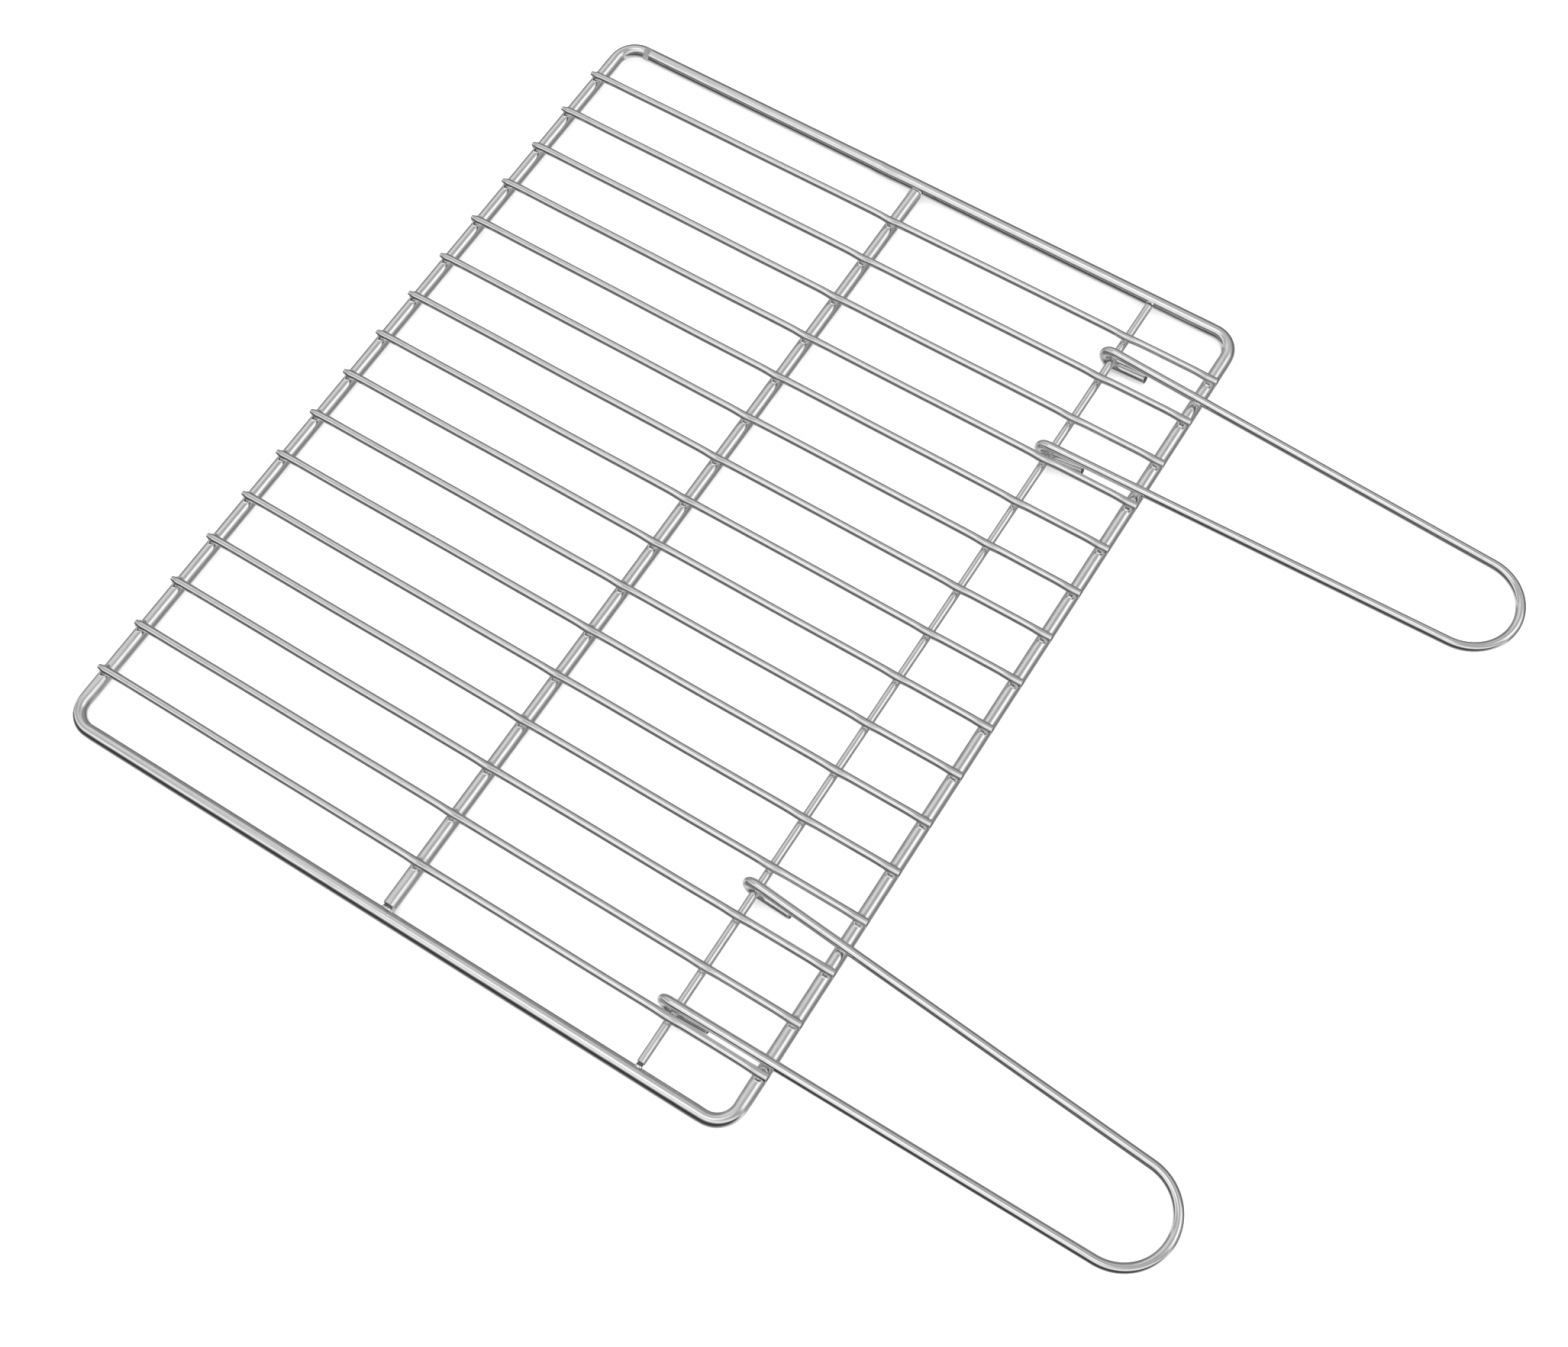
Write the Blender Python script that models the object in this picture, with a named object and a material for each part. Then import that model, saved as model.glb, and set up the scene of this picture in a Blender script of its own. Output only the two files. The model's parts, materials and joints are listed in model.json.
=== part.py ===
"""Grill grate of bright steel wire with two fold-over wire handles, in metres, +Z up.

Frame of the part: X runs along the long sides of the grate, Y from the handles (-Y, the
front) to the far side (+Y), and the origin is under the middle of the whole part, on the
plane that the handles' hooks touch. The grate is a rod frame with a middle crossbar, a
hinge rod near the front and sixteen thin wires laid over them. Each handle is one wire
whose two ends are bent round the hinge rod, so that it folds up and over the grate.
"""

from math import cos, pi, radians, sin, tan

import bpy

# Wire and rod diameters
FRAME_DIAMETER = 0.0060
GRATE_WIRE_DIAMETER = 0.0035
HINGE_ROD_DIAMETER = 0.0035
HANDLE_DIAMETER = 0.0042

# Frame, measured between the centre-lines of its rod
FRAME_WIDTH = 0.400
FRAME_DEPTH = 0.314
FRAME_CORNER_RADIUS = 0.010

# Bars and wires, as distances from the back bar or from the middle of the frame
HINGE_ROD_FROM_BACK = 0.27375
WIRE_COUNT = 16
WIRE_PITCH = 0.02342
WIRE_SET_SHIFT = -0.0009
WIRE_OVERHANG = 0.0003

# Handles: reach from the middle of the hooks' bends to the tip, both on the centre-line.
# The hooks are wider than the rod, so each handle lies a little askew: yaw turns its tip
# towards -X, and splay is how far each leg spreads from the handle's own middle line.
HANDLE_REACH = 0.1979
HANDLE_TIP_RADIUS = 0.0203
HOOK_BEND_RADIUS = 0.0045
HOOK_ARM_LENGTH = 0.0160
HOOK_ARM_RISE = 0.0026
HOOK_SLACK = 0.0001
LEFT_HANDLE = {"x": -0.1436, "yaw": 2.15, "splay": 2.43}
RIGHT_HANDLE = {"x": 0.1377, "yaw": 0.84, "splay": 2.20}

# Clearance between pieces that touch, and between the bars' ends and the frame, where the
# real gap is filled with weld metal
GAP = 0.0003
BAR_END_GAP = 0.0015

# Segments
THICK_SIDES = 12
THIN_SIDES = 8
CORNER_STEPS = 6
TIP_STEPS = 16
HOOK_STEPS = 10

# Heights, stacked up from the plane that the hooks touch
HANDLE_Z = HANDLE_DIAMETER / 2 + 2 * HOOK_BEND_RADIUS
BAR_TOP_Z = HANDLE_Z - HANDLE_DIAMETER / 2 - GAP
HINGE_ROD_Z = BAR_TOP_Z - HINGE_ROD_DIAMETER / 2
FRAME_Z = BAR_TOP_Z - FRAME_DIAMETER / 2
WIRE_Z = BAR_TOP_Z + GAP + GRATE_WIRE_DIAMETER / 2


def handle_spread(place):
    """Distance of each hook from the handle's middle line."""
    lean = radians(place["splay"])
    tip_centre = HANDLE_REACH - HANDLE_TIP_RADIUS
    return (HANDLE_TIP_RADIUS + tip_centre * sin(lean)) / cos(lean)


def handle_setback(place):
    """How far the hooks' bends lie behind the hinge axis, so that both clear the rod."""
    return handle_spread(place) * tan(radians(place["yaw"])) + HOOK_SLACK


def handle_front(place):
    """Reach of a handle in front of the hinge axis."""
    tip_centre = HANDLE_REACH - HANDLE_TIP_RADIUS - handle_setback(place)
    return tip_centre * cos(radians(place["yaw"])) + HANDLE_TIP_RADIUS + HANDLE_DIAMETER / 2


# Places along Y, with the whole part centred on the origin
BACK_REACH = FRAME_DIAMETER / 2 + WIRE_OVERHANG
FRONT_REACH = HINGE_ROD_FROM_BACK + max(handle_front(LEFT_HANDLE), handle_front(RIGHT_HANDLE))
BACK_Y = (FRONT_REACH - BACK_REACH) / 2
FRONT_Y = BACK_Y - FRAME_DEPTH
MIDDLE_Y = BACK_Y - FRAME_DEPTH / 2
HINGE_Y = BACK_Y - HINGE_ROD_FROM_BACK

CHROME = {"color": (0.78, 0.79, 0.80), "roughness": 0.16, "metallic": 1.0}
STEEL = {"color": (0.72, 0.73, 0.75), "roughness": 0.22, "metallic": 1.0}


def clear_scene():
    """Remove whatever the file holds."""
    for old in list(bpy.data.objects):
        bpy.data.objects.remove(old, do_unlink=True)


def make_material(name, finish):
    """A plain metal."""
    material = bpy.data.materials.new(name)
    material.use_nodes = True
    shader = material.node_tree.nodes["Principled BSDF"]
    shader.inputs["Base Color"].default_value = (*finish["color"], 1.0)
    shader.inputs["Roughness"].default_value = finish["roughness"]
    shader.inputs["Metallic"].default_value = finish["metallic"]
    return material


def wire(name, points, diameter, sides, material, closed=False):
    """A wire of a given diameter across its flats, bent along the points."""
    curve = bpy.data.curves.new(name, "CURVE")
    curve.dimensions = "3D"
    curve.bevel_depth = diameter / 2 / cos(pi / sides)
    curve.bevel_resolution = (sides - 4) // 2
    curve.use_fill_caps = not closed
    spline = curve.splines.new("POLY")
    spline.points.add(len(points) - 1)
    for point, place in zip(spline.points, points):
        point.co = (*place, 1.0)
        point.tilt = pi / sides
    spline.use_cyclic_u = closed
    curve.materials.append(material)
    body = bpy.data.objects.new(name, curve)
    bpy.context.collection.objects.link(body)
    return body


def arc(centre, radius, start, end, steps):
    """Points of an arc in a plane, from one angle to another in degrees."""
    turns = [radians(start + (end - start) * i / steps) for i in range(steps + 1)]
    return [(centre[0] + radius * cos(a), centre[1] + radius * sin(a)) for a in turns]


def make_frame(material):
    """The outer rod, bent to a rounded rectangle and closed on itself."""
    reach_x = FRAME_WIDTH / 2 - FRAME_CORNER_RADIUS
    reach_y = FRAME_DEPTH / 2 - FRAME_CORNER_RADIUS
    corners = [
        ((reach_x, MIDDLE_Y + reach_y), 0),
        ((-reach_x, MIDDLE_Y + reach_y), 90),
        ((-reach_x, MIDDLE_Y - reach_y), 180),
        ((reach_x, MIDDLE_Y - reach_y), 270),
    ]
    points = []
    for centre, start in corners:
        turn = arc(centre, FRAME_CORNER_RADIUS, start, start + 90, CORNER_STEPS)
        points += [(x, y, FRAME_Z) for x, y in turn]
    return wire("outer_frame", points, FRAME_DIAMETER, THICK_SIDES, material, closed=True)


def make_bars(material):
    """The middle crossbar and the hinge rod, butted between the frame's short sides."""
    reach = FRAME_WIDTH / 2 - FRAME_DIAMETER / 2 - BAR_END_GAP
    middle = [(-reach, MIDDLE_Y, FRAME_Z), (reach, MIDDLE_Y, FRAME_Z)]
    hinge = [(-reach, HINGE_Y, HINGE_ROD_Z), (reach, HINGE_Y, HINGE_ROD_Z)]
    wire("middle_crossbar", middle, FRAME_DIAMETER, THICK_SIDES, material)
    wire("hinge_rod", hinge, HINGE_ROD_DIAMETER, THICK_SIDES, material)


def make_grate_wires(material):
    """The thin wires that food lies on, laid over the bars from front to back."""
    front = FRONT_Y - FRAME_DIAMETER / 2 - WIRE_OVERHANG
    back = BACK_Y + FRAME_DIAMETER / 2 + WIRE_OVERHANG
    first = WIRE_SET_SHIFT - WIRE_PITCH * (WIRE_COUNT - 1) / 2
    for i in range(WIRE_COUNT):
        x = first + WIRE_PITCH * i
        points = [(x, front, WIRE_Z), (x, back, WIRE_Z)]
        wire(f"grate_wire_{i + 1:02d}", points, GRATE_WIRE_DIAMETER, THIN_SIDES, material)


def handle_points(place):
    """Centre-line of a handle that points along +X, with its origin on the hinge axis.

    It runs from the end of one hook's arm, round the hinge rod, along the upper leg to
    the tip, and back the same way on the other side.
    """
    splay = place["splay"]
    spread = handle_spread(place)
    bend_x = -handle_setback(place)
    leg_z = HANDLE_Z - HINGE_ROD_Z
    bend_z = leg_z - HOOK_BEND_RADIUS
    arm_y = spread - HOOK_ARM_LENGTH * tan(radians(splay))
    arm_end = (bend_x + HOOK_ARM_LENGTH, arm_y, bend_z - HOOK_BEND_RADIUS + HOOK_ARM_RISE)
    bend = arc((bend_x, bend_z), HOOK_BEND_RADIUS, 270, 90, HOOK_STEPS)
    half = [arm_end] + [(x, spread, z) for x, z in bend]
    tip_centre = (bend_x + HANDLE_REACH - HANDLE_TIP_RADIUS, 0.0)
    tip = arc(tip_centre, HANDLE_TIP_RADIUS, 90 - splay, splay - 90, TIP_STEPS)
    other_half = [(x, -y, z) for x, y, z in reversed(half)]
    return half + [(x, y, leg_z) for x, y in tip] + other_half


def make_handle(name, place, material):
    """One handle, its empty on the hinge axis, level with the grate."""
    pivot = bpy.data.objects.new(name + "_pivot", None)
    bpy.context.collection.objects.link(pivot)
    pivot.location = (place["x"], HINGE_Y, HINGE_ROD_Z)
    pivot.rotation_euler = (0.0, 0.0, radians(-90 - place["yaw"]))
    points = handle_points(place)
    body = wire(name, points, HANDLE_DIAMETER, THICK_SIDES, material)
    body.parent = pivot


def main():
    clear_scene()
    chrome = make_material("chromed_wire", CHROME)
    steel = make_material("handle_wire", STEEL)
    make_frame(chrome)
    make_bars(chrome)
    make_grate_wires(chrome)
    make_handle("left_handle", LEFT_HANDLE, steel)
    make_handle("right_handle", RIGHT_HANDLE, steel)


main()
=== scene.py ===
"""Looks of a wire grill grate with two folding handles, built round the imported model.

Metres, +Z up. X runs along the grate's long sides, Y from the handles to the far side. The
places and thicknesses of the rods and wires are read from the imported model's boxes, and the
hinge axes from its joints. What the boxes can't tell, such as how far a handle's legs
splay, is named below.
"""

import json
from math import ceil, cos, exp, pi, radians, sin, sqrt, tan
from random import Random

import bpy
from mathutils import Matrix, Vector


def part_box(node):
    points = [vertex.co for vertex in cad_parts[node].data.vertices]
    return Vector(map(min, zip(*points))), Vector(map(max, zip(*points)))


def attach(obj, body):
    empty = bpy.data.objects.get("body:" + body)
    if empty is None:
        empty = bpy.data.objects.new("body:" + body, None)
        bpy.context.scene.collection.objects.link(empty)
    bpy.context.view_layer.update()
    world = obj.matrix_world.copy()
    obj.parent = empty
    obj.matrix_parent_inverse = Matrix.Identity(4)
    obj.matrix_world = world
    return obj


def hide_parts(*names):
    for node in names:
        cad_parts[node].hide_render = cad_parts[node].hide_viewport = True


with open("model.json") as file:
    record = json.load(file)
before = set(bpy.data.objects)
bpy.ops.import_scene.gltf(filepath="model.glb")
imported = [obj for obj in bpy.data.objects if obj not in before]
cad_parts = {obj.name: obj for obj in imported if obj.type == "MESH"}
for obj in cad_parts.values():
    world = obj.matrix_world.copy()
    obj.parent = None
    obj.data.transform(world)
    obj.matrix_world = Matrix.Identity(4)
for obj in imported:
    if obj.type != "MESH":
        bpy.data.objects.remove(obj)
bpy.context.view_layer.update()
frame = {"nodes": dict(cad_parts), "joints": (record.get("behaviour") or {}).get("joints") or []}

# Bends and lengths of the frame and the handles, on their centre-lines, as the model has
# them. A handle's yaw says how askew it lies and its splay how far each leg opens, in degrees.
FRAME_CORNER_RADIUS = 0.010
HANDLE_REACH = 0.1979
HANDLE_TIP_RADIUS = 0.0203
HOOK_BEND_RADIUS = 0.0045
HOOK_ARM_LENGTH = 0.0160
HOOK_ARM_RISE = 0.0026
HOOK_SLACK = 0.0001
HANDLES = {
    "left_handle": {"joint": "left_handle_fold", "yaw": 2.15, "splay": 2.43},
    "right_handle": {"joint": "right_handle_fold", "yaw": 0.84, "splay": 2.20},
}

# Wires are pressed into the bars where they are welded to them, and flattened there by a share
PRESS_DEPTH = 0.00050
PRESS_LENGTH = 0.0045
PRESS_FLAT = 0.05

# Their back ends stop a little short of the model's. The cutter pinched them, to a share of
# their width and height, and bent both ends down past the last bar.
BACK_END_SHORT = 0.0008
PINCH_LENGTH = 0.0034
PINCH_WIDTH = 0.62
PINCH_HEIGHT = 0.56
END_LENGTH = 0.0033
END_CURVE = 1.6
BACK_END_DROOP = 0.0004
FRONT_END_DROOP = 0.0002

# How far rods stray from straight, how much their radius varies, and the lengths of both waves
WANDER = 0.00012
ROD_SWELL = 0.00002
WIRE_SWELL = 0.000015
WAVE_LENGTHS = (0.31, 0.17, 0.083)

# The frame's butt weld, beside the crossbar: a raised ring at each end and a flat ground on top
FRAME_WELD_SHIFT = 0.016
FRAME_WELD_RINGS = 0.0055
RING_HEIGHT = 0.00018
RING_WIDTH = 0.0012
COLLAR_HEIGHT = 0.00012
COLLAR_WIDTH = 0.0040
GROUND_DEPTH = 0.00030
GROUND_WIDTH = 0.0045

# How far along a bar a weld's heat shows, and how much a bend of the frame counts beside it
FRAME_WELD_HEAT = 0.005
SPOT_WELD_HEAT = 0.0035
FRAME_BEND_WORKED = 0.35

# A spot weld. Its foot lies on the bar, past the wire by a share of the bar's radius, and its
# crest climbs the wire's flank, by degrees from the wire's underside. Chance squeezes more or
# less metal out on each side. The core is how far its ends close in towards the two centres.
SQUEEZE = (0.8, 1.2)
FOOT_PAST_WIRE = 0.50
FOOT_REACH = 0.72
FOOT_REACH_MOST = 0.85
FOOT_SINK = 0.00006
KNEE_WIDTH = 1.16
KNEE_REACH = 0.45
CREST_REACH = 0.80
CREST_CLIMB = 108.0
CREST_WIDTH = 1.01
CREST_HEIGHT = 0.98
WELD_CORE = 0.3

# Welds at the bars' ends: node, side of the frame, and the side along Y where they are flush.
# The groove sinks in from just inside the bar's outline, is deepest near the bar's end, and
# rises and comes down towards the frame's flank.
BAR_END_WELDS = [
    ("middle_crossbar", -1, -1),
    ("middle_crossbar", 1, 1),
    ("hinge_rod", -1, 0),
    ("hinge_rod", 1, 1),
]
GROOVE_START = 0.97
GROOVE_SINK = 0.34
GROOVE_DEEPEST = 0.15
GROOVE_RISE = 0.75
GROOVE_LOWER = 0.42
GROOVE_FILL = 1.6
GROOVE_FILL_BELOW = 0.45
# Groove faces sunk deeper than this, within the share of the groove nearest the bar's end, are
# painted shade with the dark cut steel
GROOVE_SHADE_SINK = 0.08
GROOVE_SHADE_SHARE = 0.55
GROOVE_INTO_BAR = 0.0003
GROOVE_INTO_FRAME = 0.0002
FLANK_MOST = 0.97

# A drop of weld metal on the frame beside the crossbar: its size, its rings by their share of
# the radius, how lobed it is, its place along Y and its lean from the top
DROP_RADIUS = 0.0008
DROP_HEIGHT = 0.55
DROP_SINK = 0.00012
DROP_RINGS = (1.12, 1.0, 0.86, 0.66, 0.42, 0.2)
DROP_LOBES = 0.15
DROP_SHIFT = -0.0026
DROP_LEAN = 14.0

# How much taller and narrower the frame is in its bends, and how much flatter a hook's wire
BEND_TALLER = 0.02
BEND_NARROWER = 0.035
HOOK_FLATTER = 0.04

# Sheared ends: the broken edge's width, its share of the radius, and how deep the face is dished
END_BREAK = 0.00014
END_EDGE = 0.90
END_DISH = 0.00006

# Facets: sides around, and steps along, which are fine near the welds and the ends
ROD_SIDES = 40
WIRE_SIDES = 28
ROD_STEP = 0.0030
ROD_FINE_STEP = 0.0012
ROD_FINE_REACH = 0.0040
WIRE_STEP = 0.0060
WIRE_FINE_STEP = 0.0006
WIRE_FINE_REACH = 0.0090
WELD_SIDES = 36
WELD_STEPS = 8
CORNER_STEPS = 14
HOOK_STEPS = 28
TIP_STEPS = 48

# The camera, standing at the grate's near left corner and looking down on it
CAMERA_PLACE = (-0.340495, -0.223488, 0.818959)
CAMERA_TURN = (25.050, 1.782, -57.582)
CAMERA_LENS = 51.53
CAMERA_SENSOR = 36.0

# Greys that the metal mirrors, by the degrees that a direction leans from straight up. The
# first run from -X over the top to +X and show in rods along Y, the others from -Y to +Y.
GREYS_ABOUT_Y = [
    (-180, 0.68), (-155, 0.50), (-132, 0.24), (-115, 0.08), (-95, 0.025), (-80, 0.025),
    (-70, 0.07), (-62, 0.20), (-52, 0.55), (-44, 0.82), (-34, 0.78), (-20, 0.46), (-8, 0.34),
    (5, 0.37), (18, 0.54), (32, 0.58), (45, 0.45), (60, 0.26), (75, 0.15), (95, 0.12),
    (115, 0.17), (150, 0.40), (180, 0.68),
]
GREYS_ABOUT_X = [
    (-180, 0.68), (-150, 0.28), (-130, 0.21), (-115, 0.18), (-95, 0.20), (-85, 0.26),
    (-75, 0.34), (-65, 0.54), (-55, 0.85), (-42, 1.00), (-30, 0.85), (-18, 0.45), (-6, 0.31),
    (4, 0.31), (16, 0.42), (32, 0.60), (45, 0.62), (60, 0.48), (77, 0.32), (88, 0.22),
    (100, 0.18), (115, 0.24), (150, 0.45), (180, 0.68),
]

# How much of the second greys shows, by the direction's part along X, where toward -X counts as
# 0, and a bright patch overhead with a soft edge
SHARE_ABOUT_X = [(0.0, 0.0), (0.08, 0.0), (0.20, 0.95), (0.5, 0.95), (0.7, 0.0)]
HIGHLIGHT_TOWARD = (-0.10, 0.16, 0.98)
HIGHLIGHT_EDGE = (0.14, 0.36)
HIGHLIGHT_GREY = 0.92

# How bright the mirrored greys are, and the white surroundings that light the scene
MIRRORED_STRENGTH = 1.25
WHITE_STRENGTH = 1.8

# The softbox that lights the floor: where it starts and ends along X and Y, its height and its
# brightness. The floor reaches this far to each side.
SOFTBOX_SIDES = (-2.0, 0.8)
SOFTBOX_HEIGHT = 1.6
SOFTBOX_RADIANCE = 1.0
FLOOR_REACH = 12.0

SEED = 11
WIRE_SEED = 100


# ---------------------------------------------------------------- materials


def add(owner, kind, **settings):
    """A new node in a material or a world, with its settings."""
    node = owner.node_tree.nodes.new(kind)
    for name, value in settings.items():
        setattr(node, name, value)
    return node


def join(owner, source, target):
    """A link between two sockets."""
    owner.node_tree.links.new(source, target)


def metal(name, colour, roughness):
    """A bare metal and its shader."""
    material = bpy.data.materials.new(name)
    material.use_nodes = True
    shader = material.node_tree.nodes["Principled BSDF"]
    shader.inputs["Metallic"].default_value = 1.0
    shader.inputs["Base Color"].default_value = (*colour, 1.0)
    shader.inputs["Roughness"].default_value = roughness
    return material, shader


def noise(material, space, scale, detail=2.0, roughness=0.5):
    """Noise stretched by a scale for each axis, from 0 to 1."""
    stretch = add(material, "ShaderNodeMapping")
    stretch.inputs["Scale"].default_value = scale
    join(material, space, stretch.inputs["Vector"])
    texture = add(material, "ShaderNodeTexNoise")
    texture.inputs["Scale"].default_value = 1.0
    texture.inputs["Detail"].default_value = detail
    texture.inputs["Roughness"].default_value = roughness
    join(material, stretch.outputs["Vector"], texture.inputs["Vector"])
    return texture.outputs["Fac"]


def spread(material, value, low, high, start=0.0, end=1.0):
    """A value moved smoothly from one range to another."""
    node = add(material, "ShaderNodeMapRange", interpolation_type="SMOOTHSTEP")
    node.inputs["From Min"].default_value = start
    node.inputs["From Max"].default_value = end
    node.inputs["To Min"].default_value = low
    node.inputs["To Max"].default_value = high
    join(material, value, node.inputs["Value"])
    return node.outputs["Result"]


def sum_of(material, one, other):
    """Two values added."""
    node = add(material, "ShaderNodeMath", operation="ADD")
    join(material, one, node.inputs[0])
    join(material, other, node.inputs[1])
    return node.outputs[0]


def product(material, one, other):
    """Two values multiplied."""
    node = add(material, "ShaderNodeMath", operation="MULTIPLY")
    join(material, one, node.inputs[0])
    join(material, other, node.inputs[1])
    return node.outputs[0]


def blend(material, share, one, other):
    """A colour between two, by a share."""
    node = add(material, "ShaderNodeMix", data_type="RGBA")
    join(material, share, node.inputs["Factor"])
    node.inputs["A"].default_value = (*one, 1.0)
    node.inputs["B"].default_value = (*other, 1.0)
    return node.outputs["Result"]


def bump(material, height, distance, before=None):
    """A bump of a real height, on top of another one."""
    node = add(material, "ShaderNodeBump")
    node.inputs["Strength"].default_value = 1.0
    node.inputs["Distance"].default_value = distance
    join(material, height, node.inputs["Height"])
    if before is not None:
        join(material, before, node.inputs["Normal"])
    return node.outputs["Normal"]


def drawn_wire(name, bright, dull, roughness):
    """Bright plated wire, with die lines along it, rougher where it was bent or welded."""
    material, shader = metal(name, bright, roughness)
    place = add(material, "ShaderNodeAttribute", attribute_name="wire_space").outputs["Vector"]
    worked = add(material, "ShaderNodeAttribute", attribute_name="worked").outputs["Fac"]
    lines = noise(material, place, (14.0, 3600.0, 3600.0), detail=3.0)
    fine_lines = noise(material, place, (45.0, 11000.0, 11000.0))
    waves = noise(material, place, (70.0, 110.0, 110.0), detail=1.0)
    stains = noise(material, place, (160.0, 420.0, 420.0), detail=4.0, roughness=0.6)
    peel = noise(material, place, (2600.0, 2600.0, 2600.0), detail=2.0)

    stained = spread(material, stains, 0.0, 0.55, 0.45, 0.85)
    shade = sum_of(material, stained, spread(material, worked, 0.0, 0.45))
    join(material, blend(material, shade, bright, dull), shader.inputs["Base Color"])

    gloss = spread(material, lines, roughness - 0.03, roughness + 0.03, 0.3, 0.7)
    gloss = sum_of(material, gloss, spread(material, worked, 0.0, 0.10))
    gloss = sum_of(material, gloss, spread(material, stains, 0.0, 0.08, 0.55, 0.8))
    join(material, gloss, shader.inputs["Roughness"])

    normal = bump(material, waves, 0.00016)
    normal = bump(material, lines, 0.0000009, normal)
    normal = bump(material, fine_lines, 0.0000002, normal)
    normal = bump(material, product(material, peel, worked), 0.000012, normal)
    join(material, normal, shader.inputs["Normal"])
    return material


def weld_metal():
    """Bright weld metal: once molten, so it is faintly rippled, with duller pinholes."""
    bright, dull = (0.97, 0.97, 0.97), (0.40, 0.39, 0.38)
    material, shader = metal("weld_metal", bright, 0.2)
    place = add(material, "ShaderNodeTexCoord").outputs["Object"]
    ripples = noise(material, place, (900.0, 900.0, 900.0), detail=1.0)
    holes = noise(material, place, (900.0, 900.0, 900.0), detail=1.0)
    pitted = spread(material, holes, 0.0, 1.0, 0.68, 0.74)
    join(material, blend(material, pitted, bright, dull), shader.inputs["Base Color"])
    gloss = spread(material, ripples, 0.08, 0.16)
    gloss = sum_of(material, gloss, spread(material, pitted, 0.0, 0.3))
    join(material, gloss, shader.inputs["Roughness"])
    join(material, bump(material, ripples, 0.000012), shader.inputs["Normal"])
    return material


def cut_steel_and_shade():
    """The sheared face of a wire's end: dull and dark, with the lines of the blade across it. Its
    dark colour is also painted shade on the bars' square ends and deep in the weld grooves.
    """
    bright, dull = (0.24, 0.24, 0.245), (0.06, 0.06, 0.063)
    material, shader = metal("cut_steel_and_shade", bright, 0.4)
    place = add(material, "ShaderNodeTexCoord").outputs["Object"]
    marks = noise(material, place, (6000.0, 900.0, 900.0), detail=3.0)
    join(material, blend(material, marks, bright, dull), shader.inputs["Base Color"])
    join(material, spread(material, marks, 0.32, 0.5), shader.inputs["Roughness"])
    join(material, bump(material, marks, 0.00003), shader.inputs["Normal"])
    return material


def pale_floor():
    """Plain matt white."""
    material = bpy.data.materials.new("pale_floor")
    material.use_nodes = True
    shader = material.node_tree.nodes["Principled BSDF"]
    shader.inputs["Base Color"].default_value = (0.93, 0.93, 0.93, 1.0)
    shader.inputs["Roughness"].default_value = 0.9
    shader.inputs["Specular IOR Level"].default_value = 0.1
    return material


# ---------------------------------------------------------------- geometry


def new_piece(name, points, faces, materials, sharp=40.0):
    """A mesh object, shaded smooth apart from its sharp edges."""
    mesh = bpy.data.meshes.new(name)
    mesh.from_pydata([tuple(p) for p in points], [], faces)
    for material in materials:
        mesh.materials.append(material)
    mesh.shade_smooth()
    mesh.set_sharp_from_angle(angle=radians(sharp))
    piece = bpy.data.objects.new(name, mesh)
    bpy.context.scene.collection.objects.link(piece)
    return piece


def finish_piece(piece, body, slot, *nodes):
    """Hand a piece to its body, and hide the nodes that it stands for. The slot is not used."""
    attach(piece, body)
    if nodes:
        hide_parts(*nodes)
    return piece


def wander(seed, size):
    """A smooth small deviation along a length, different for each seed."""
    dice = Random(SEED * 1000 + seed)
    waves = [(2 * pi / length, dice.uniform(0, 2 * pi)) for length in WAVE_LENGTHS]
    return lambda s: size * sum(sin(k * s + start) for k, start in waves) / len(waves)


def hump(distance, width):
    """1 at no distance, and smoothly down to nothing a few widths away."""
    return exp(-((distance / width) ** 2))


def lengths_along(path):
    """The distance of each point of a path from the first."""
    along = [0.0]
    for here, after in zip(path, path[1:]):
        along.append(along[-1] + (after - here).length)
    return along


def cross_frames(path, closed):
    """For each point of a path, the two directions across it, carried along without a twist."""
    frames = []
    count, up = len(path), Vector((0, 0, 1))
    for i in range(count):
        after = path[(i + 1) % count] if closed or i + 1 < count else path[i]
        before = path[i - 1] if closed or i > 0 else path[i]
        forward = (after - before).normalized()
        up = (up - forward * up.dot(forward)).normalized()
        frames.append((forward.cross(up), up))
    return frames


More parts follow.
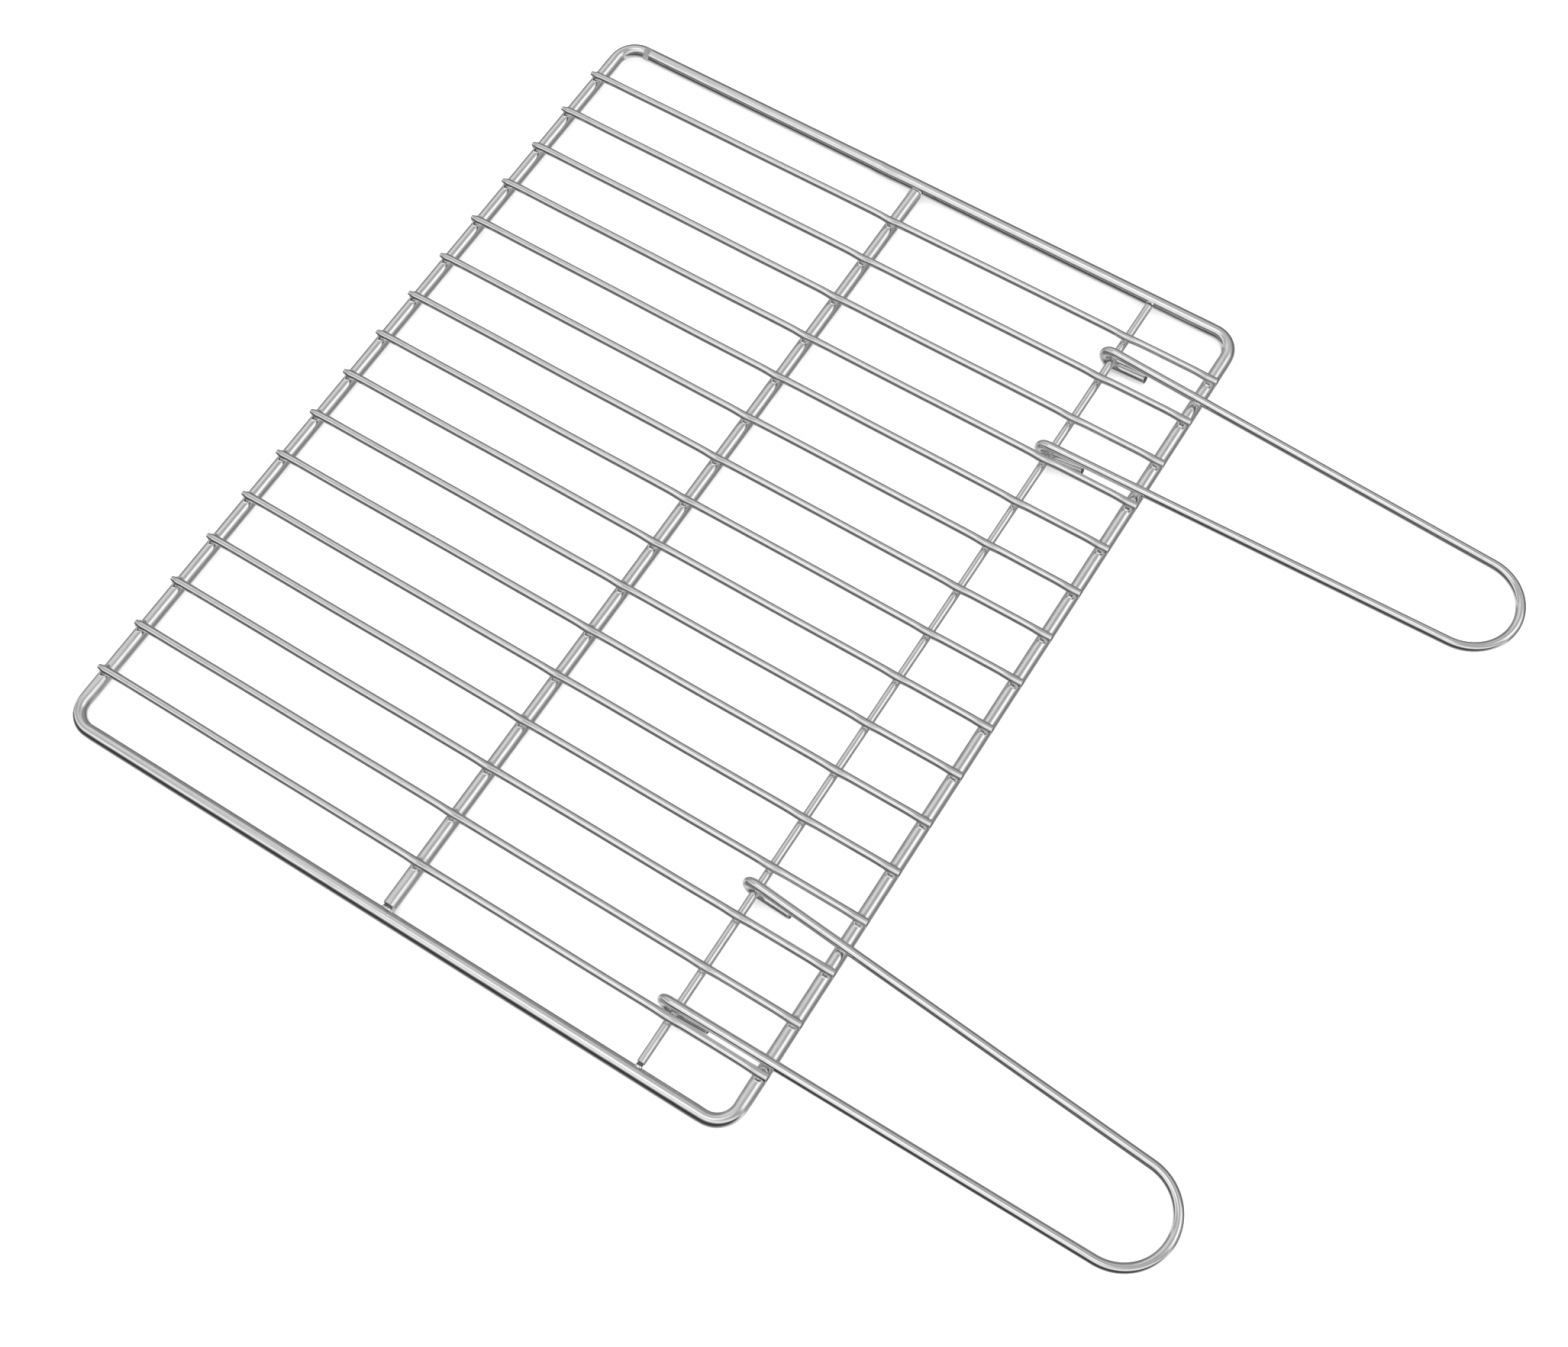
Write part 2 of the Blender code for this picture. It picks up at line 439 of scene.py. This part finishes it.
def sweep(name, path, shape, worked, sides, materials, closed=False):
    """A round rod along a path.

    shape(i, angle) gives its radius at the path's point i, angle 0 pointing sideways and 90
    degrees up. worked says for each point, from 0 to 1, how much the rod was bent or heated
    there. An open rod has two sheared ends, with a broken edge and a shallow dish.
    """
    along = lengths_along(path)
    frames = cross_frames(path, closed)
    angles = [2 * pi * i / sides for i in range(sides)]
    points, spaces, heats = [], [], []

    def ring(i, shift=0.0, scale=1.0):
        side, over = frames[i]
        forward = over.cross(side)
        for angle in angles:
            radius = shape(i, angle) * scale
            across, height = radius * cos(angle), radius * sin(angle)
            points.append(path[i] + forward * shift + side * across + over * height)
            spaces.append((along[i] + shift, across, height))
            heats.append(worked[i])

    last = len(path) - 1
    if not closed:
        ring(0, shift=-END_BREAK, scale=END_EDGE)
    for i in range(len(path)):
        ring(i)
    if not closed:
        ring(last, shift=END_BREAK, scale=END_EDGE)

    rings = len(points) // sides
    faces = []
    for r in range(rings if closed else rings - 1):
        one, other = r * sides, (r + 1) % rings * sides
        for k in range(sides):
            after = (k + 1) % sides
            faces.append((one + k, other + k, other + after, one + after))
    body_faces = len(faces)
    if not closed:
        for start, place, inward in ((0, path[0], 1), ((rings - 1) * sides, path[last], -1)):
            step = path[1] - path[0] if inward == 1 else path[last - 1] - path[last]
            dish = step.normalized() * END_DISH
            points.append(place + dish)
            spaces.append((0.0, 0.0, 0.0))
            heats.append(0.0)
            hub = len(points) - 1
            for k in range(sides):
                edge = (start + k, start + (k + 1) % sides)
                faces.append((*edge, hub) if inward == 1 else (*reversed(edge), hub))

    piece = new_piece(name, points, faces, materials)
    mesh = piece.data
    for polygon in mesh.polygons[body_faces:]:
        polygon.material_index = len(materials) - 1
    place = mesh.attributes.new("wire_space", "FLOAT_VECTOR", "POINT")
    place.data.foreach_set("vector", [value for space in spaces for value in space])
    heat = mesh.attributes.new("worked", "FLOAT", "POINT")
    heat.data.foreach_set("value", heats)
    return piece


def stations(start, end, marks, coarse, fine, reach):
    """Places from start to end, closer together near the marks and near both ends."""
    places, here = [start], start
    near = [*marks, start, end]
    while here < end:
        step = fine if min(abs(here - m) for m in near) < reach else coarse
        here += step
        places.append(min(here, end))
    return places


def arc(centre, radius, start, end, steps):
    """Points of an arc in a plane, from one angle to another in degrees."""
    turns = [radians(start + (end - start) * i / steps) for i in range(steps + 1)]
    return [(centre[0] + radius * cos(a), centre[1] + radius * sin(a)) for a in turns]


def subdivided(points, step):
    """A path with extra points on its long straight stretches."""
    path = []
    for here, after in zip(points, points[1:]):
        count = max(1, ceil((after - here).length / step))
        path += [here.lerp(after, k / count) for k in range(count)]
    return path + [points[-1]]


# ---------------------------------------------------------------- the grate


def level_rod(node):
    """Middle and radius of a rod or wire that lies level, from its box."""
    low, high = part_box(node)
    return (low + high) / 2, (high.z - low.z) / 2


def frame_outline():
    """Centre-line of the outer frame as a closed path, and the rod's radius."""
    low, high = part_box("outer_frame")
    middle, radius = level_rod("outer_frame")
    reach_x = (high.x - low.x) / 2 - radius - FRAME_CORNER_RADIUS
    reach_y = (high.y - low.y) / 2 - radius - FRAME_CORNER_RADIUS
    corners = [((1, 1), 0), ((-1, 1), 90), ((-1, -1), 180), ((1, -1), 270)]
    path = []
    for (side_x, side_y), start in corners:
        centre = (middle.x + side_x * reach_x, middle.y + side_y * reach_y)
        turn = arc(centre, FRAME_CORNER_RADIUS, start, start + 90, CORNER_STEPS)
        path += [Vector((x, y, middle.z)) for x, y in turn]
    path = subdivided([*path, path[0]], ROD_STEP)[:-1]
    return path, radius


def make_frame(materials):
    """The outer rod: oval where it is bent, with the ground-down butt weld on the +X side."""
    path, radius = frame_outline()
    low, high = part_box("outer_frame")
    corner = FRAME_CORNER_RADIUS + radius
    crossbar, _ = level_rod("middle_crossbar")
    weld_y = crossbar.y + FRAME_WELD_SHIFT
    along = lengths_along(path)
    bent, weld_off = [], []
    for point in path:
        past_x = min(point.x - low.x, high.x - point.x) < corner
        past_y = min(point.y - low.y, high.y - point.y) < corner
        bent.append(1.0 if past_x and past_y else 0.0)
        weld_off.append(abs(point.y - weld_y) if point.x > 0 else 1.0)
    swell = wander(1, ROD_SWELL)

    def shape(i, angle):
        oval = bent[i] * (BEND_TALLER * sin(angle) ** 2 - BEND_NARROWER * cos(angle) ** 2)
        raised = RING_HEIGHT * hump(weld_off[i] - FRAME_WELD_RINGS, RING_WIDTH)
        raised += COLLAR_HEIGHT * hump(weld_off[i], COLLAR_WIDTH)
        ground = GROUND_DEPTH * hump(weld_off[i], GROUND_WIDTH) * max(0.0, sin(angle)) ** 4
        return radius * (1 + oval) + raised - ground + swell(along[i])

    heat = [hump(off, FRAME_WELD_HEAT) for off in weld_off]
    worked = [min(1.0, FRAME_BEND_WORKED * bend + hot) for bend, hot in zip(bent, heat)]
    piece = sweep("frame_rod", path, shape, worked, ROD_SIDES, materials, closed=True)
    return finish_piece(piece, "grate", "frame_rod", "outer_frame")


def wire_centres():
    """Name, middle and radius of every grate wire, in order."""
    names = sorted(n for n in frame["nodes"] if n.startswith("grate_wire_"))
    return [(name, *level_rod(name)) for name in names]


def bar_rows():
    """The four bars under the wires: name, place along Y, height and radius."""
    low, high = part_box("outer_frame")
    middle, radius = level_rod("outer_frame")
    crossbar, crossbar_radius = level_rod("middle_crossbar")
    hinge, hinge_radius = level_rod("hinge_rod")
    return [
        ("back_bar", high.y - radius, middle.z, radius),
        ("crossbar", crossbar.y, crossbar.z, crossbar_radius),
        ("hinge_rod", hinge.y, hinge.z, hinge_radius),
        ("front_bar", low.y + radius, middle.z, radius),
    ]


def make_bar(name, node, seed, materials):
    """A straight bar between the frame's short sides, with the wires' welds as worked spots."""
    middle, radius = level_rod(node)
    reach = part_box(node)[1].x
    marks = [centre.x for _, centre, _ in wire_centres()]
    places = stations(-reach, reach, marks, ROD_STEP, ROD_FINE_STEP, ROD_FINE_REACH)
    sway, swell = wander(seed, WANDER / 2), wander(seed + 1, ROD_SWELL)
    path = [Vector((x, middle.y + sway(x), middle.z)) for x in places]

    def shape(i, angle):
        return radius + swell(places[i])

    worked = [max(hump(x - mark, SPOT_WELD_HEAT) for mark in marks) for x in places]
    piece = sweep(name, path, shape, worked, ROD_SIDES, materials)
    return finish_piece(piece, "grate", "frame_rod", node)


def pressed(y, rows):
    """How deep a wire is pressed down at a place, from 0 to 1."""
    return max(hump(y - bar_y, PRESS_LENGTH) for _, bar_y, _, _ in rows)


def end_droop(y, front_y, back_y):
    """How far the sheared end of a wire bends down past the last bar."""
    past_back = max(0.0, y - back_y) / END_LENGTH
    past_front = max(0.0, front_y - y) / END_LENGTH
    return BACK_END_DROOP * past_back ** END_CURVE + FRONT_END_DROOP * past_front ** END_CURVE


def make_wire(name, node, middle, radius, seed, materials):
    """One grate wire: pressed down and a little flattened at the bars, pinched at its back end."""
    low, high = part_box(node)
    rows = bar_rows()
    back_y, front_y = rows[0][1], rows[-1][1]
    end_y = high.y - BACK_END_SHORT
    marks = [row[1] for row in rows]
    places = stations(low.y, end_y, marks, WIRE_STEP, WIRE_FINE_STEP, WIRE_FINE_REACH)
    sway, swell = wander(seed, WANDER), wander(seed + 50, WIRE_SWELL)
    path, pinches = [], []
    for y in places:
        drop = PRESS_DEPTH * pressed(y, rows) + end_droop(y, front_y, back_y)
        path.append(Vector((middle.x + sway(y), y, middle.z - drop)))
        share = max(0.0, 1 - (end_y - y) / PINCH_LENGTH)
        pinches.append(share * share * (3 - 2 * share))

    def shape(i, angle):
        flat, pinch = PRESS_FLAT * pressed(places[i], rows), pinches[i]
        wide = (1 + flat) * (1 - (1 - PINCH_WIDTH) * pinch)
        tall = (1 - flat) * (1 - (1 - PINCH_HEIGHT) * pinch)
        oval = 1 / sqrt((cos(angle) / wide) ** 2 + (sin(angle) / tall) ** 2)
        return radius * oval + swell(places[i])

    worked = [max(pressed(y, rows), pinch) for y, pinch in zip(places, pinches)]
    piece = sweep(name, path, shape, worked, WIRE_SIDES, materials)
    return finish_piece(piece, "grate", "grate_wire", node)


def make_wires(materials):
    """All the thin wires that food lies on."""
    for i, (node, middle, radius) in enumerate(wire_centres()):
        make_wire(f"wire_{i + 1:02d}", node, middle, radius, WIRE_SEED + i, materials)


# ---------------------------------------------------------------- welds


def add_loft(points, faces, rings):
    """Add a closed body through rings of points; its first and last rings close on a hub each."""
    sides, first = len(rings[0]), len(points)
    for ring in rings:
        points.extend(ring)
    for r in range(len(rings) - 1):
        one, other = first + r * sides, first + (r + 1) * sides
        for k in range(sides):
            after = (k + 1) % sides
            faces.append((one + k, one + after, other + after, other + k))
    last = first + (len(rings) - 1) * sides
    for ring, start, flip in ((rings[0], first, True), (rings[-1], last, False)):
        hub = len(points)
        points.append(sum(ring, Vector()) / sides)
        for k in range(sides):
            edge = (start + k, start + (k + 1) % sides)
            faces.append((*reversed(edge), hub) if flip else (*edge, hub))


def spot_weld(points, faces, dice, wire, bar):
    """Metal squeezed out where a wire was pressed into a bar: a fillet all round the crossing.

    wire is the wire's place along X, its height and its radius. bar is the bar's place along
    Y, its height and its radius. Chance makes each side's share larger or smaller.
    """
    wire_x, wire_z, wire_radius = wire
    bar_y, bar_z, bar_radius = bar
    right, left, back, front = (dice.uniform(*SQUEEZE) for _ in range(4))
    rings = [[] for _ in range(WELD_STEPS + 1)]

    def on_bar(x, y, sink=0.0):
        return Vector((x, y, bar_z + sqrt(bar_radius ** 2 - y ** 2) - sink))

    for k in range(WELD_SIDES):
        angle = 2 * pi * k / WELD_SIDES
        across, along = cos(angle), sin(angle)
        squeeze_x = right if across > 0 else left
        squeeze_y = back if along > 0 else front
        foot_x = (wire_radius + FOOT_PAST_WIRE * bar_radius * squeeze_x) * across
        foot_y = min(FOOT_REACH * squeeze_y, FOOT_REACH_MOST) * bar_radius * along
        climb = radians(CREST_CLIMB * abs(across) - 90)
        crest_x = CREST_WIDTH * wire_radius * cos(climb) * (1 if across > 0 else -1)
        crest_y = CREST_REACH * bar_radius * squeeze_y * along
        foot = on_bar(foot_x, foot_y, FOOT_SINK)
        knee = on_bar(KNEE_WIDTH * wire_radius * across, KNEE_REACH * bar_radius * along)
        crest = Vector((crest_x, crest_y, wire_z + CREST_HEIGHT * wire_radius * sin(climb)))
        for step, ring in enumerate(rings):
            t = step / WELD_STEPS
            place = crest * (1 - t) ** 2 + knee * (2 * t * (1 - t)) + foot * t ** 2
            ring.append(place + Vector((wire_x, bar_y, 0.0)))
    top = [p.lerp(Vector((wire_x, bar_y, wire_z)), WELD_CORE) for p in rings[0]]
    bottom = [p.lerp(Vector((wire_x, bar_y, bar_z)), WELD_CORE) for p in rings[-1]]
    add_loft(points, faces, [bottom, *reversed(rings), top])


def make_spot_welds(material):
    """The welds of each bar, one piece for each bar."""
    for row, (name, *bar) in enumerate(bar_rows()):
        dice = Random(SEED * 100 + row)
        points, faces = [], []
        for i, (_, middle, radius) in enumerate(wire_centres()):
            x = middle.x + wander(WIRE_SEED + i, WANDER)(bar[0])
            spot_weld(points, faces, dice, (x, middle.z - PRESS_DEPTH, radius), bar)
        piece = new_piece(f"{name}_welds", points, faces, [material], sharp=60.0)
        finish_piece(piece, "grate", "frame_rod")


def butt_weld(points, faces, bar, bar_radius, side, flush, outline):
    """Metal in the groove between a bar's square end and the frame's round flank.

    It is flush with the bar on one side, flush being 1 for +Y, -1 for -Y and 0 for neither,
    and sinks in elsewhere, most of all next to the bar's end. outline is the X of the bar's
    end, the X of the frame's flank, and the frame rod's height and radius. What comes back
    says for each new face, in order, whether it lies deep in the groove.
    """
    end, flank, frame_z, frame_radius = outline
    rings = [[] for _ in range(WELD_STEPS + 1)]
    sunken = []
    for k in range(WELD_SIDES):
        angle = 2 * pi * k / WELD_SIDES
        full = max(0.0, flush * cos(angle) - GROOVE_FILL_BELOW * sin(angle)) if flush else 0.0
        sink = GROOVE_SINK * max(0.0, 1 - GROOVE_FILL * full)
        sunken.append(sink > GROOVE_SHADE_SINK)
        for step, ring in enumerate(rings):
            t = step / WELD_STEPS
            rising = GROOVE_RISE * (t - GROOVE_DEEPEST) / (1 - GROOVE_DEEPEST)
            waist = bar_radius * (GROOVE_START - sink * min(t / GROOVE_DEEPEST, 1 - rising))
            lowered = 1 - GROOVE_LOWER * t * max(0.0, sin(angle)) ** 0.5
            y, z = bar.y + waist * cos(angle), bar.z + waist * sin(angle) * lowered
            height = min(abs(z - frame_z), FLANK_MOST * frame_radius)
            wall = flank + frame_radius - sqrt(frame_radius ** 2 - height ** 2)
            x = (end - GROOVE_INTO_BAR) * (1 - t) + (wall + GROOVE_INTO_FRAME) * t
            ring.append(Vector((side * x, y, z)))
    if side < 0:
        rings = [list(reversed(ring)) for ring in rings]
        sunken = sunken[::-1]
    first = len(faces)
    add_loft(points, faces, rings)
    # Faces deep in the groove, near the bar's end, get painted shade
    shaded_steps = [step < GROOVE_SHADE_SHARE * WELD_STEPS for step in range(WELD_STEPS)]
    deep = [is_sunken and is_near for is_near in shaded_steps for is_sunken in sunken]
    return deep + [False] * (len(faces) - first - len(deep))


def weld_bead(points, faces, dice, place, outward):
    """A small low drop of weld metal on a rod, at a place on its surface."""
    aside = outward.orthogonal().normalized()
    along = outward.cross(aside)
    two_lobes, three_lobes = (dice.uniform(-DROP_LOBES, DROP_LOBES) for _ in range(2))
    rings = []
    for share in DROP_RINGS:
        lift = DROP_HEIGHT * DROP_RADIUS * sqrt(max(0.0, 1 - share ** 2)) - DROP_SINK
        ring = []
        for k in range(WELD_SIDES):
            angle = 2 * pi * k / WELD_SIDES
            lobes = two_lobes * cos(2 * angle) + three_lobes * cos(3 * angle)
            reach = DROP_RADIUS * share * (1 + lobes)
            sideways = aside * cos(angle) + along * sin(angle)
            ring.append(place + sideways * reach + outward * lift)
        rings.append(ring)
    add_loft(points, faces, rings)


def make_butt_welds(groove, bright):
    """The welds at both ends of the crossbar and of the hinge rod, dull and dark with painted
    shade deep in the grooves.
    """
    frame_middle, frame_radius = level_rod("outer_frame")
    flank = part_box("outer_frame")[1].x - 2 * frame_radius
    points, faces, dull = [], [], []
    for node, side, flush in BAR_END_WELDS:
        middle, radius = level_rod(node)
        outline = (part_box(node)[1].x, flank, frame_middle.z, frame_radius)
        dull += butt_weld(points, faces, middle, radius, side, flush, outline)
    piece = new_piece("bar_end_welds", points, faces, [bright, groove], sharp=60.0)
    # Faces deep in the grooves take the second material, the dark cut steel, as painted shade
    for polygon, is_shaded in zip(piece.data.polygons, dull):
        polygon.material_index = int(is_shaded)
    finish_piece(piece, "grate", "frame_rod")


def make_weld_drop(bright):
    """A drop of weld metal that fell on the frame next to the crossbar's -X end."""
    frame_middle, frame_radius = level_rod("outer_frame")
    frame_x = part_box("outer_frame")[0].x + frame_radius
    crossbar, _ = level_rod("middle_crossbar")
    lean = radians(DROP_LEAN)
    outward = Vector((sin(lean), 0, cos(lean)))
    core = Vector((frame_x, crossbar.y + DROP_SHIFT, frame_middle.z))
    points, faces = [], []
    weld_bead(points, faces, Random(SEED), core + outward * frame_radius, outward)
    finish_piece(new_piece("weld_drop", points, faces, [bright], sharp=60.0), "grate", "frame_rod")


# ---------------------------------------------------------------- handles


def handle_path(name, radius):
    """Centre-line of a handle, from one hook's end round its tip to the other's."""
    form = HANDLES[name]
    joint = next(j for j in frame["joints"] if j["name"] == form["joint"])
    pivot = Vector(joint["pos_m"])
    splay, yaw = radians(form["splay"]), radians(form["yaw"])
    tip_reach = HANDLE_REACH - HANDLE_TIP_RADIUS
    spread_y = (HANDLE_TIP_RADIUS + tip_reach * sin(splay)) / cos(splay)
    bend_x = -spread_y * tan(yaw) - HOOK_SLACK
    leg_z = radius + 2 * HOOK_BEND_RADIUS - pivot.z
    bend_z = leg_z - HOOK_BEND_RADIUS
    arm_y = spread_y - HOOK_ARM_LENGTH * tan(splay)
    arm_end = Vector((bend_x + HOOK_ARM_LENGTH, arm_y, bend_z - HOOK_BEND_RADIUS + HOOK_ARM_RISE))
    hook = arc((bend_x, bend_z), HOOK_BEND_RADIUS, 270, 90, HOOK_STEPS)
    half = [arm_end] + [Vector((x, spread_y, z)) for x, z in hook]
    quarter = 90 - form["splay"]
    tip = arc((bend_x + tip_reach, 0.0), HANDLE_TIP_RADIUS, quarter, -quarter, TIP_STEPS)
    other = [Vector((p.x, -p.y, p.z)) for p in reversed(half)]
    local = subdivided(half + [Vector((x, y, leg_z)) for x, y in tip] + other, ROD_STEP)
    turn = Matrix.Translation(pivot) @ Matrix.Rotation(radians(-90) - yaw, 4, "Z")
    return [turn @ p for p in local]


def bend_amount(path, i):
    """How tightly a path turns at a point: 0 where straight, 1 at the hooks."""
    if i == 0 or i == len(path) - 1:
        return 0.0
    before, after = path[i] - path[i - 1], path[i + 1] - path[i]
    turn = before.angle(after) / ((before.length + after.length) / 2)
    return min(1.0, turn * HOOK_BEND_RADIUS)


def make_handle(name, materials):
    """One handle wire, a little oval where it is bent tight."""
    low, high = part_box(name)
    radius = (high.z - low.z - 2 * HOOK_BEND_RADIUS) / 2
    path = handle_path(name, radius)
    along = lengths_along(path)
    tight = [bend_amount(path, i) for i in range(len(path))]
    bent = [sum(tight[max(0, i - 2):i + 3]) / 5 for i in range(len(path))]
    swell = wander(sum(map(ord, name)), WIRE_SWELL)

    def shape(i, angle):
        return radius * (1 - HOOK_FLATTER * bent[i] * sin(angle) ** 2) + swell(along[i])

    piece = sweep(f"{name}_wire", path, shape, bent, WIRE_SIDES, materials)
    return finish_piece(piece, f"{name}_body", "handle_wire", name)


# ---------------------------------------------------------------- studio


def make_floor():
    """A wide pale floor. The mirror-bright wire sees the studio's greys in the place of it."""
    sides = ((-1, -1), (1, -1), (1, 1), (-1, 1))
    corners = [(x * FLOOR_REACH, y * FLOOR_REACH, 0) for x, y in sides]
    mesh = bpy.data.meshes.new("floor")
    mesh.from_pydata(corners, [], [(0, 1, 2, 3)])
    mesh.materials.append(pale_floor())
    floor = bpy.data.objects.new("floor", mesh)
    bpy.context.scene.collection.objects.link(floor)
    floor.visible_glossy = False


def make_ceiling_light():
    """One wide softbox over the camera's side. It lights the floor and isn't mirrored itself."""
    low, high = SOFTBOX_SIDES
    light = bpy.data.lights.new("ceiling_softbox", "AREA")
    light.shape = "SQUARE"
    light.size = high - low
    light.energy = SOFTBOX_RADIANCE * pi * light.size ** 2
    lamp = bpy.data.objects.new("ceiling_softbox", light)
    lamp.location = ((low + high) / 2, (low + high) / 2, SOFTBOX_HEIGHT)
    lamp.visible_camera = False
    lamp.visible_glossy = False
    bpy.context.scene.collection.objects.link(lamp)


def greys_along(world, share, greys):
    """A grey by a share from 0 to 1."""
    node = add(world, "ShaderNodeValToRGB")
    stops = node.color_ramp.elements
    while len(stops) < len(greys):
        stops.new(0.5)
    for stop, (place, grey) in zip(stops, greys):
        stop.position = place
        stop.color = (grey, grey, grey, 1.0)
    join(world, share, node.inputs["Fac"])
    return node.outputs["Color"]


def greys_around(world, across, up, greys):
    """A grey by the lean of a direction from straight up, from its parts across and up."""
    lean = add(world, "ShaderNodeMath", operation="ARCTAN2")
    join(world, across, lean.inputs[0])
    join(world, up, lean.inputs[1])
    share = add(world, "ShaderNodeMapRange")
    share.inputs["From Min"].default_value = -pi
    share.inputs["From Max"].default_value = pi
    join(world, lean.outputs[0], share.inputs["Value"])
    stops = [((angle + 180) / 360, grey) for angle, grey in greys]
    return greys_along(world, share.outputs["Result"], stops)


def distance_share(world, direction):
    """How far a direction is from the bright patch: 0 within its edge, 1 beyond it."""
    away = add(world, "ShaderNodeVectorMath", operation="DISTANCE")
    away.inputs[1].default_value = HIGHLIGHT_TOWARD
    join(world, direction, away.inputs[0])
    fade = add(world, "ShaderNodeMapRange", interpolation_type="SMOOTHSTEP")
    fade.inputs["From Min"].default_value = HIGHLIGHT_EDGE[0]
    fade.inputs["From Max"].default_value = HIGHLIGHT_EDGE[1]
    join(world, away.outputs["Value"], fade.inputs["Value"])
    return fade.outputs["Result"]


def mirrored_studio(world):
    """What the metal mirrors in place of the white surroundings."""
    direction = add(world, "ShaderNodeTexCoord").outputs["Generated"]
    parts = add(world, "ShaderNodeSeparateXYZ")
    join(world, direction, parts.inputs[0])
    x, y, z = (parts.outputs[name] for name in "XYZ")
    greys = add(world, "ShaderNodeMix", data_type="RGBA")
    join(world, greys_along(world, x, SHARE_ABOUT_X), greys.inputs["Factor"])
    join(world, greys_around(world, x, z, GREYS_ABOUT_Y), greys.inputs["A"])
    join(world, greys_around(world, y, z, GREYS_ABOUT_X), greys.inputs["B"])
    lit = add(world, "ShaderNodeMix", data_type="RGBA")
    lit.inputs["A"].default_value = (HIGHLIGHT_GREY, HIGHLIGHT_GREY, HIGHLIGHT_GREY, 1.0)
    join(world, distance_share(world, direction), lit.inputs["Factor"])
    join(world, greys.outputs["Result"], lit.inputs["B"])
    return lit.outputs["Result"]


def make_world():
    """White surroundings, with the mirrored greys in their place for what the metal reflects."""
    world = bpy.data.worlds.new("studio")
    bpy.context.scene.world = world
    world.use_nodes = True
    nodes = world.node_tree.nodes
    white = nodes["Background"]
    white.inputs["Color"].default_value = (1.0, 1.0, 1.0, 1.0)
    white.inputs["Strength"].default_value = WHITE_STRENGTH
    mirrored = add(world, "ShaderNodeBackground")
    join(world, mirrored_studio(world), mirrored.inputs["Color"])
    mirrored.inputs["Strength"].default_value = MIRRORED_STRENGTH
    choose = add(world, "ShaderNodeMixShader")
    join(world, add(world, "ShaderNodeLightPath").outputs["Is Glossy Ray"], choose.inputs["Fac"])
    join(world, white.outputs[0], choose.inputs[1])
    join(world, mirrored.outputs[0], choose.inputs[2])
    join(world, choose.outputs[0], nodes["World Output"].inputs["Surface"])


def make_camera():
    """The camera, with the whole grate in view."""
    data = bpy.data.cameras.new("camera")
    data.lens = CAMERA_LENS
    data.sensor_width = CAMERA_SENSOR
    camera = bpy.data.objects.new("camera", data)
    camera.location = CAMERA_PLACE
    camera.rotation_euler = [radians(angle) for angle in CAMERA_TURN]
    bpy.context.scene.collection.objects.link(camera)
    bpy.context.scene.camera = camera


make_camera()
make_world()
make_ceiling_light()
make_floor()
bpy.context.scene.view_settings.view_transform = "Standard"

# The dark sheared steel also serves as painted shade, on the bars' square ends and deep in the
# weld grooves
cut_and_shade = cut_steel_and_shade()
weld = weld_metal()
rod = drawn_wire("chromed_rod", (0.86, 0.86, 0.86), (0.66, 0.66, 0.66), 0.10)
thin = drawn_wire("chromed_wire", (0.86, 0.86, 0.86), (0.64, 0.64, 0.64), 0.06)
handle = drawn_wire("handle_wire", (0.87, 0.87, 0.87), (0.66, 0.66, 0.66), 0.09)

make_frame([rod])
make_bar("crossbar", "middle_crossbar", 3, [rod, cut_and_shade])
make_bar("hinge_bar", "hinge_rod", 5, [rod, cut_and_shade])
make_wires([thin, cut_and_shade])
make_spot_welds(weld)
make_butt_welds(cut_and_shade, weld)
make_weld_drop(weld)
for handle_name in HANDLES:
    make_handle(handle_name, [handle, cut_and_shade])
